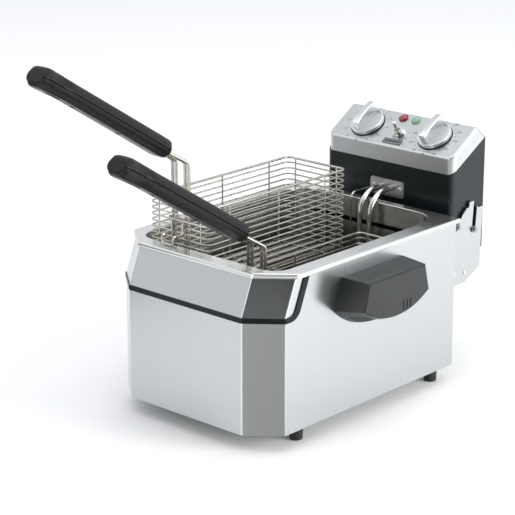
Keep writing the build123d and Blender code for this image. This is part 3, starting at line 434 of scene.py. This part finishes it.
class Basket:
    """One basket's wires, laid out in the box that its frame and floor hold."""

    def __init__(self, side):
        self.side = side
        self.body = f"basket_{side}"
        rim_low, rim_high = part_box(f"basket_{side}_top_frame")
        self.middle = (rim_low.x + rim_high.x) / 2
        self.half = (rim_high.x - rim_low.x) / 2
        self.front = rim_low.y
        self.length = rim_high.y - rim_low.y
        self.top = rim_high.z
        self.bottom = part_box(f"basket_{side}_floor_mesh")[0].z
        self.levels = [self.bottom + FIRST_ROW + PITCH * step for step in range(ROWS)]

    def spot(self, x, y, z):
        """A point from the basket's middle line, its front and its floor."""
        return Vector((self.middle + x, self.front + y, self.bottom + z))

    def loop(self, inset, z):
        """A rounded rectangle round the basket at one height."""
        half = self.half - inset
        radius = CORNER - inset
        path = []
        for x, y, start in ((half, self.length - inset, 0), (-half, self.length - inset, 90),
                            (-half, inset, 180), (half, inset, 270)):
            inward = radius if y < self.length / 2 else -radius
            centre = self.spot(math.copysign(half - radius, x), y + inward, 0)
            centre.z = z
            for step in range(9):
                turn = math.radians(start + 90 * step / 8)
                path.append(centre + Vector((radius * math.cos(turn), radius * math.sin(turn), 0)))
        return path

    def upright_places(self):
        """Where the walls' upright wires stand: x, y and the way towards the level wires."""
        inside = 2.7 * WIRE
        sides = [(sign * (self.half - inside), y, (sign, 0)) for sign in (-1, 1)
                 for y in (SIDE_UPRIGHT, self.length / 2, self.length - SIDE_UPRIGHT)]
        fronts = [(x, y, (0, out)) for x in (-END_UPRIGHT, END_UPRIGHT)
                  for y, out in ((inside, -1), (self.length - inside, 1))]
        return sides + fronts

    def walls(self):
        shape = Shape()
        for level in self.levels:
            wobble = random.uniform(-0.12, 0.12) * MM
            shape.tube(self.loop(WIRE, level + wobble), WIRE, 8, closed=True)
        for x, y, (out_x, out_y) in self.upright_places():
            low = self.spot(x, y, 3.8 * MM)
            high = Vector((low.x, low.y, self.top - 2 * FRAME_WIRE + 0.3 * MM))
            shape.tube([low, high], WIRE, 8)
            for level in self.levels:
                weld = Vector((low.x + out_x * WIRE * 0.85, low.y + out_y * WIRE * 0.85, level))
                shape.blob(weld, WIRE * 1.12)
        shape.make(f"basket_{self.side}_walls", plated_wire, self.body, "basket_wire",
                   [f"basket_{self.side}_side_mesh", f"basket_{self.side}_end_mesh"])

    def floor(self):
        shape = Shape()
        crossings = (30 * MM, self.length / 2, self.length - 30 * MM)
        for step in range(FLOOR_WIRES):
            x = (self.half - 7 * MM) * (2 * step / (FLOOR_WIRES - 1) - 1)
            over = max(0.0, abs(x) - (self.half - CORNER))
            trim = CORNER - math.sqrt(CORNER ** 2 - over ** 2) + 3.2 * WIRE
            shape.tube([self.spot(x, trim, WIRE), self.spot(x, self.length - trim, WIRE)], WIRE, 8)
            for y in crossings:
                shape.blob(self.spot(x, y, 1.8 * WIRE), WIRE * 1.1)
        reach = self.half - 2.8 * MM
        for y in crossings:
            shape.tube([self.spot(-reach, y, 2.6 * WIRE), self.spot(reach, y, 2.6 * WIRE)], WIRE, 8)
        shape.make(f"basket_{self.side}_floor", plated_wire, self.body, "basket_wire",
                   [f"basket_{self.side}_floor_mesh"])

    def rim(self):
        shape = Shape()
        shape.tube(self.loop(FRAME_WIRE, self.top - FRAME_WIRE), FRAME_WIRE, 12, closed=True)
        for x, y, _ in self.upright_places():
            joint = self.spot(x, y, 0)
            joint.z = self.top - 2 * FRAME_WIRE
            shape.blob(joint, WIRE * 1.25)
        shape.make(f"basket_{self.side}_rim", plated_wire, self.body, "basket_wire",
                   [f"basket_{self.side}_top_frame"])

    def elbow(self, along, across, lift=0.0):
        """A point along the grip's slope from the legs' elbow, raised square to the slope."""
        start = self.spot(across, LEG_BACK, 0)
        start.z = self.top + ELBOW_RISE
        cos, sin = math.cos(GRIP_SLOPE), math.sin(GRIP_SLOPE)
        return start + Vector((0, -along * cos + lift * sin, along * sin + lift * cos))

    def handle(self):
        shape = Shape()
        for sign in (-1, 1):
            for leg, grip in LEGS:
                points = [self.spot(sign * leg, LEG_BACK, 5.2 * MM), self.elbow(0, sign * leg)]
                points += [self.elbow(GRIP_START, sign * grip), self.elbow(GRIP_START + 40 * MM, sign * grip)]
                shape.tube(rounded(points, [8 * MM, 20 * MM]), LEG_WIRE, 12)
        for z in STRAP_HEIGHTS:
            strap_low = self.spot(-STRAP_HALF, 2 * WIRE, z)
            strap_high = self.spot(STRAP_HALF, LEG_BACK - LEG_WIRE, z + 6 * MM)
            shape.block(strap_low, strap_high)
            for sign in (-1, 1):
                for leg, _ in LEGS:
                    for y, size in ((LEG_BACK - LEG_WIRE * 0.7, LEG_WIRE), (2 * WIRE, WIRE * 1.2)):
                        shape.blob(self.spot(sign * leg, y, z + 3 * MM), size)
        shape.make(f"basket_{self.side}_handle", plated_wire, self.body, "basket_wire",
                   [f"basket_{self.side}_handle_wires"])

    def hook(self):
        low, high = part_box(f"basket_{self.side}_rim_hook")
        rest = low.z + HOOK_WIRE
        out = low.y + HOOK_WIRE
        back = self.front - HOOK_WIRE
        half = (high.x - low.x) / 2 - HOOK_WIRE
        left = [(back, high.z), (back, rest + 9 * MM), (out, rest + 9 * MM), (out, rest)]
        points = [Vector((self.middle - half, y, z)) for y, z in left]
        points += [Vector((self.middle + half, y, z)) for y, z in reversed(left)]
        shape = Shape()
        shape.tube(rounded(points, [3.5 * MM] * 6), HOOK_WIRE, 12)
        for sign in (-1, 1):
            for level in self.levels:
                if rest + 12 * MM < level < high.z:
                    shape.blob(Vector((self.middle + sign * half, self.front, level)), WIRE)
        shape.make(f"basket_{self.side}_hook", plated_wire, self.body, "basket_wire",
                   [f"basket_{self.side}_rim_hook"])


# ---- grips ------------------------------------------------------------------------------------
# Each station: distance along the grip, width, height above the seam, height below it, rise of the seam.
GRIP_STATIONS = (
    (0.0, 19.0, 7.6, 6.0, 2.5), (0.8, 22.0, 9.0, 8.0, 2.5), (2.4, 24.0, 9.9, 9.4, 2.5),
    (6.0, 25.2, 10.4, 10.4, 2.5), (14.0, 25.6, 10.5, 11.0, 2.5), (30.0, 25.8, 10.5, 10.8, 2.5),
    (90.0, 26.0, 10.5, 10.6, 2.5), (156.0, 26.0, 10.4, 10.6, 2.5), (164.0, 26.0, 10.5, 10.6, 2.5),
    (167.5, 25.2, 10.5, 10.6, 2.5), (171.0, 23.4, 10.7, 10.7, 2.5), (177.0, 22.4, 11.0, 10.9, 2.3),
    (184.0, 22.6, 11.3, 11.2, 2.1), (190.0, 24.2, 11.5, 11.4, 1.8), (194.5, 26.4, 11.6, 11.5, 1.7),
    (198.0, 27.6, 11.6, 11.5, 1.5), (202.5, 27.8, 11.2, 11.1, 1.2), (205.5, 26.6, 10.2, 10.0, 0.95),
    (207.1, 24.8, 8.9, 8.6, 0.75), (207.6, 23.0, 7.8, 7.4, 0.7), (207.6, 17.0, 5.6, 5.2, 0.7))
# Lengths in millimetres. Heights count from the plane of the handle wires.
GRIP_SHARP = 28  # degrees
GRIP_SCREWS = (146, 74)  # distances along the grip
GRIP_SLOT = (178, 11, 3.6, 6)  # distance along the grip, half length, half width, depth
SCREW_RECESS = (3.0, 2.9, 5)  # half length, half width, depth
RECESS_START = -7.9  # the height that a recess's depth counts from, at the grip's underside
RECESS_MOUTH, MOUTH_GROWTH = -13.5, 0.6  # the cutting solid's lower end, clear of the grip, and wider
SCREW_RINGS = ((-2.7, 2.4), (-5.1, 2.4), (-5.7, 1.9))  # height and radius


def grip_profile(width, above, below):
    """Right half of the section, from the top to the bottom: points across and up."""
    half = width / 2
    crown = ((0.0, above), (0.46 * half, 0.985 * above), (0.60 * half, 0.93 * above))
    flank = ((0.70 * half, 0.82 * above), (0.90 * half, 0.38 * above), (0.97 * half, 0.16 * above))
    seam = ((half, 0.08 * above), (half, 0.05 * above), (half - 1.1, 0.0), (half, -0.05 * below))
    low_flank = ((0.995 * half, -0.1 * below), (0.94 * half, -0.42 * below), (0.86 * half, -0.60 * below))
    keel = ((0.72 * half, -0.72 * below), (0.66 * half, -0.84 * below), (0.58 * half, -0.96 * below),
            (0.46 * half, -below), (0.0, -below))
    return crown + flank + seam + low_flank + keel


def grip_body(basket):
    shape = Shape()
    rings = []
    for along, width, above, below, raised in GRIP_STATIONS:
        profile = grip_profile(width, above, below)
        outline = list(profile) + [(-x, z) for x, z in reversed(profile[1:-1])]
        rings.append([basket.elbow(GRIP_START + along * MM, x * MM, (z + raised) * MM) for x, z in outline])
    shape.skin(rings)
    return shape


def recess(basket, along, half_length, half_width, depth):
    """The solid that cuts a rounded slot into the grip's underside."""
    rings = []
    for lift, grow in ((RECESS_MOUTH, MOUTH_GROWTH), (RECESS_START + depth, 0.0)):
        ring = []
        for step in range(24):
            turn = 2 * math.pi * step / 24
            x = (half_width + grow) * math.cos(turn)
            y = (half_width + grow) * math.sin(turn) + math.copysign(half_length - half_width, math.sin(turn))
            ring.append(basket.elbow(GRIP_START + (along + y) * MM, x * MM, lift * MM))
        rings.append(ring)
    shape = Shape()
    shape.skin(rings)
    return shape.mesh("cutter")


def grip(basket):
    """The grip as one piece with its slot and screw recesses, and the two screws."""
    piece = grip_body(basket).make(f"grip_{basket.side}", grip_black, basket.body, "grip_black",
                                   [f"grip_{basket.side}_upper", f"grip_{basket.side}_lower"],
                                   sharp=GRIP_SHARP)
    for recess_size in (GRIP_SLOT, *((along, *SCREW_RECESS) for along in GRIP_SCREWS)):
        tool = bpy.data.objects.new("cutter", recess(basket, *recess_size))
        bpy.context.scene.collection.objects.link(tool)
        cut = piece.modifiers.new("recess", "BOOLEAN")
        cut.object = tool
        cut.solver = "EXACT"
        bpy.context.view_layer.update()
        result = bpy.data.meshes.new_from_object(piece.evaluated_get(bpy.context.evaluated_depsgraph_get()))
        piece.modifiers.clear()
        piece.data = result
        bpy.data.objects.remove(tool)
    piece.data.materials.clear()
    piece.data.materials.append(grip_black)
    piece.data.set_sharp_from_angle(angle=math.radians(GRIP_SHARP))
    screws = Shape()
    for along in GRIP_SCREWS:
        rings = []
        for lift, radius in SCREW_RINGS:
            circle = [(radius * math.sin(t), radius * math.cos(t))
                      for t in (2 * math.pi * step / 20 for step in range(20))]
            rings.append([basket.elbow(GRIP_START + (along + a) * MM, b * MM, lift * MM) for a, b in circle])
        screws.skin(rings)
    screws.make(f"grip_{basket.side}_screws", bolt_steel, basket.body, "fastener_steel")


for basket in (Basket("left"), Basket("right")):
    basket.walls()
    basket.floor()
    basket.rim()
    basket.handle()
    basket.hook()
    grip(basket)


# ---- the tank's rolled rim ----------------------------------------------------------------------
RIM_TOP_MM = (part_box("oil_tank")[1].z - HOUSING[0].z) / MM
OPENING_HALF, OPENING_FRONT, OPENING_REAR = 102.0, 31.5, 311.5
FRONT_CORNER, REAR_CORNER = 22, 36  # radii in plan
EDGE_WIRE = 0.75
EDGE_INSET = 0.3


def rim_edge():
    """A bead round the lower edge of the tank's rim."""
    tank = frame["nodes"]["oil_tank"]
    corners = [tank.matrix_world @ vertex.co for vertex in tank.data.vertices]
    top = max(corner.z for corner in corners)
    lip = [corner for corner in corners if corner.z > top - 8 * MM]
    low = min(corner.z for corner in lip if corner.x > max(c.x for c in lip) - 0.2 * MM)
    hull = geometry.convex_hull_2d([corner.xy for corner in lip])
    path = [Vector((lip[index].x, lip[index].y, low + 1.0 * MM)) for index in hull]
    path = [point for before, point in zip(path[-1:] + path, path) if (point - before).length > 0.3 * MM]
    middle = sum(path, Vector()) / len(path)
    path = [point - (point - middle).normalized() * 0.5 * MM for point in path]
    shape = Shape()
    shape.tube(path, 0.95 * MM, 10, closed=True)
    shape.make("oil_tank_rim_edge", tank_sheet, "fryer", "tank_steel", sharp=50)


def opening_edge():
    """The bright rounded edge of the tank's opening."""
    height = RIM_TOP_MM - EDGE_WIRE
    path = []
    for radius, side, y, start in ((REAR_CORNER, 1, OPENING_REAR - REAR_CORNER, 0),
                                   (REAR_CORNER, -1, OPENING_REAR - REAR_CORNER, 90),
                                   (FRONT_CORNER, -1, OPENING_FRONT + FRONT_CORNER, 180),
                                   (FRONT_CORNER, 1, OPENING_FRONT + FRONT_CORNER, 270)):
        x = side * (OPENING_HALF - radius)
        reach = radius - EDGE_INSET
        for step in range(17):
            turn = math.radians(start + 90 * step / 16)
            path.append(at(x + reach * math.cos(turn), y + reach * math.sin(turn), height))
    shape = Shape()
    shape.tube(path, EDGE_WIRE * MM, 10, closed=True)
    shape.make("oil_tank_opening_edge", tank_sheet, "fryer", "tank_steel", sharp=50)


rim_edge()
opening_edge()


# ---- printing and small details of the control face --------------------------------------------
FACE_NORMAL = Vector(joints["timer_turn"]["axis"]).normalized()
FACE_UP = FACE_NORMAL.cross(RIGHT)
TIMER = Vector(joints["timer_turn"]["pos_m"])
THERMOSTAT = Vector(joints["temperature_turn"]["pos_m"])
FACE_MIDDLE = (TIMER + THERMOSTAT) / 2
INK = 0.06 * MM


def on_face(origin, x, up, lift=0.0):
    """A point on the sloping face: across, up the slope and out of it."""
    return origin + RIGHT * x + FACE_UP * up + FACE_NORMAL * lift


def dial_spot(origin, clockwise, radius):
    """A place round a dial, by its angle clockwise from the top."""
    turn = math.radians(clockwise)
    return on_face(origin, radius * math.sin(turn), radius * math.cos(turn))


def dial_ticks(shape, origin, angles, inner, outer, width):
    for angle in angles:
        turn = math.radians(angle)
        across = RIGHT * math.cos(turn) - FACE_UP * math.sin(turn)
        ends = [dial_spot(origin, angle, radius) for radius in (inner, outer)]
        corners = [ends[0] - across * width / 2, ends[0] + across * width / 2,
                   ends[1] + across * width / 2, ends[1] - across * width / 2]
        shape.skin([corners, [corner + FACE_NORMAL * INK for corner in corners]])


def ink_ring(shape, centre, radius, width):
    """A thin printed circle."""
    turns = 28
    rings = []
    for step in range(turns):
        angle = 2 * math.pi * step / turns
        out = RIGHT * math.cos(angle) + FACE_UP * math.sin(angle)
        near, far = centre + out * (radius - width), centre + out * radius
        rings.append([near, far, far + FACE_NORMAL * INK, near + FACE_NORMAL * INK])
    shape.skin(rings, closed=True)


def number(shape, text, centre, size):
    """A printed number, standing upright on the face."""
    curve = bpy.data.curves.new("number", "FONT")
    curve.body = text
    curve.size = size
    curve.align_x = "CENTER"
    curve.align_y = "CENTER"
    curve.extrude = INK / 2
    source = bpy.data.objects.new("number", curve)
    bpy.context.scene.collection.objects.link(source)
    mesh = bpy.data.meshes.new_from_object(source)
    start = len(shape.points)
    for vertex in mesh.vertices:
        shape.points.append(on_face(centre, vertex.co.x, vertex.co.y, vertex.co.z + INK / 2))
    for polygon in mesh.polygons:
        shape.faces.append(tuple(start + index for index in polygon.vertices))
    bpy.data.objects.remove(source)
    bpy.data.curves.remove(curve)


def printing():
    """Ticks and numbers round the dials, and the switch's two marks."""
    shape = Shape()
    ring = 24.0 * MM
    tick_end, tick_width = ring + 2.0 * MM, 0.55 * MM
    digit = 3.8 * MM
    dial_ticks(shape, TIMER, range(30, 301, 30), ring, tick_end, tick_width)
    for step, minutes in enumerate(range(3, 31, 3)):
        number(shape, str(minutes), dial_spot(TIMER, 30 + 30 * step, ring + 4.6 * MM), digit)
    dial_ticks(shape, THERMOSTAT, range(30, 271, 15), ring, tick_end, tick_width)
    for step, heat in enumerate(range(200, 401, 25)):
        number(shape, str(heat), dial_spot(THERMOSTAT, 30 + 30 * step, ring + 5.0 * MM), digit)
    for origin in (TIMER, THERMOSTAT):
        ink_ring(shape, dial_spot(origin, 0, ring + 1.6 * MM), 1.5 * MM, 0.35 * MM)
    lever = FACE_MIDDLE + FACE_UP * -6 * MM
    number(shape, "I", on_face(lever, 13 * MM, 5 * MM), 4 * MM)
    ink_ring(shape, on_face(lever, 13 * MM, -5 * MM), 1.6 * MM, 0.4 * MM)
    shape.make("face_printing", print_grey, "fryer", "ring_black", sharp=30)


def badge_border():
    """A thin raised line round the blank badge."""
    low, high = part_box("badge_plate")
    centre = (low + high) / 2
    half_x = (high.x - low.x) / 2 - 1.3 * MM
    half_up = 2.8 * MM
    width = 0.45 * MM
    shape = Shape()
    top = ((-half_x, half_up - width), (half_x, half_up))
    bottom = ((-half_x, -half_up), (half_x, width - half_up))
    left = ((-half_x, -half_up), (width - half_x, half_up))
    right = ((half_x - width, -half_up), (half_x, half_up))
    for inner, outer in (top, bottom, left, right):
        corners = [on_face(centre, x, up, 0.3 * MM) for x, up in
                   (inner, (outer[0], inner[1]), outer, (inner[0], outer[1]))]
        shape.skin([corners, [corner + FACE_NORMAL * 0.1 * MM for corner in corners]])
    shape.make("badge_border", knob_silver, "fryer", "badge_black")


printing()
badge_border()


# ---- stage, lights and camera -----------------------------------------------------------------
def card(name, centre, normal, width, height, material):
    """A flat rectangle of the stage."""
    mesh = bpy.data.meshes.new(name)
    normal = Vector(normal).normalized()
    across = RIGHT if abs(normal.z) > 0.99 else UP.cross(normal).normalized()
    rise = normal.cross(across)
    centre = Vector(centre)
    mesh.from_pydata([centre + across * x * width / 2 + rise * y * height / 2
                      for x, y in ((-1, -1), (1, -1), (1, 1), (-1, 1))], [], [(0, 1, 2, 3)])
    mesh.materials.append(material)
    thing = bpy.data.objects.new(name, mesh)
    bpy.context.scene.collection.objects.link(thing)
    return thing


def glow(name, strength):
    material = bpy.data.materials.new(name)
    material.use_nodes = True
    nodes = material.node_tree.nodes
    nodes.clear()
    emission = nodes.new("ShaderNodeEmission")
    emission.inputs["Color"].default_value = (1, 1, 1, 1)
    emission.inputs["Strength"].default_value = strength
    output = nodes.new("ShaderNodeOutputMaterial")
    material.node_tree.links.new(emission.outputs[0], output.inputs[0])
    return material


def area_light(name, place_at, target, size, power):
    light = bpy.data.lights.new(name, "AREA")
    light.shape = "RECTANGLE"
    light.size, light.size_y = size
    light.energy = power
    thing = bpy.data.objects.new(name, light)
    thing.location = place_at
    thing.rotation_euler = (Vector(target) - Vector(place_at)).to_track_quat("-Z", "Y").to_euler()
    bpy.context.scene.collection.objects.link(thing)


card("floor", (0, 0, 0), (0, 0, 1), 30, 30, Paint("floor_white", (0.88, 0.88, 0.88), 0.9).material)


def reflection_card(name, centre, normal, width, height, strength):
    """A card that only shows in reflections."""
    thing = card(name, centre, normal, width, height, glow(name, strength))
    thing.visible_camera = False
    thing.visible_diffuse = False
    thing.visible_shadow = False
    return thing


def floor_fan(name, start, low, high, reach, strength):
    """A sector of the floor that shows brighter or darker in reflections: its angles are in degrees."""
    thing = reflection_card(name, (0, 0, 0), (0, 0, 1), 1, 1, strength)
    turns = [math.radians(low + (high - low) * step / 2) for step in range(3)]
    above_floor = 0.0008
    points = [(*start, above_floor)]
    points += [(start[0] + reach * math.cos(t), start[1] + reach * math.sin(t), above_floor) for t in turns]
    for vertex, point in zip(thing.data.vertices, points):
        vertex.co = point


world = bpy.data.worlds.new("studio")
world.use_nodes = True
world.node_tree.nodes["Background"].inputs["Color"].default_value = (0.95, 0.97, 1.0, 1)
world.node_tree.nodes["Background"].inputs["Strength"].default_value = 0.9
bpy.context.scene.world = world

CAMERA_AZIMUTH = math.radians(42.118)
CAMERA_ELEVATION = math.radians(17.503)
CAMERA_ROLL = math.radians(0.09)
CAMERA_DISTANCE = 2.1968
back = Vector((math.sin(CAMERA_AZIMUTH) * math.cos(CAMERA_ELEVATION),
               -math.cos(CAMERA_AZIMUTH) * math.cos(CAMERA_ELEVATION), math.sin(CAMERA_ELEVATION)))
target = at(-28.2, 146.5, 138.2)

reflection_card("dark_side", target + back * 2.9 + Vector((0, 0, 0.3)), -back, 3.2, 1.7, 0.02)
floor_fan("grey_floor", (0.05, -0.05), -64, -16, 1.4, 0.50)
floor_fan("bright_floor", (0.09, -0.14), -104, -74, 0.9, 1.8)
reflection_card("bright_front", (0.05, -2.6, 0.75), (0, 1, 0), 1.1, 1.5, 2.0)
reflection_card("head_shade", (-0.635, -0.495, 0.001), (0, 0, 1), 0.43, 0.51, 0.02)

area_light("key", (-1.6, -1.2, 2.4), (0, 0.05, 0.1), (1.8, 1.8), 8)
area_light("side", (2.5, 1.0, 0.8), (0, 0.1, 0.15), (1.4, 1.4), 66)
area_light("top", (0.0, 0.3, 2.8), (0, 0.1, 0), (2.4, 2.4), 26)

camera_data = bpy.data.cameras.new("camera")
camera_data.sensor_width = 36
camera_data.lens = 137.74
camera = bpy.data.objects.new("camera", camera_data)
across = UP.cross(back).normalized()
rise = back.cross(across)
facing = Matrix((across, rise, back)).transposed()
camera.matrix_world = (Matrix.Translation(target + back * CAMERA_DISTANCE)
                       @ (facing @ Matrix.Rotation(CAMERA_ROLL, 3, "Z")).to_4x4())
bpy.context.scene.collection.objects.link(camera)
bpy.context.scene.camera = camera
bpy.context.scene.view_settings.view_transform = "Standard"
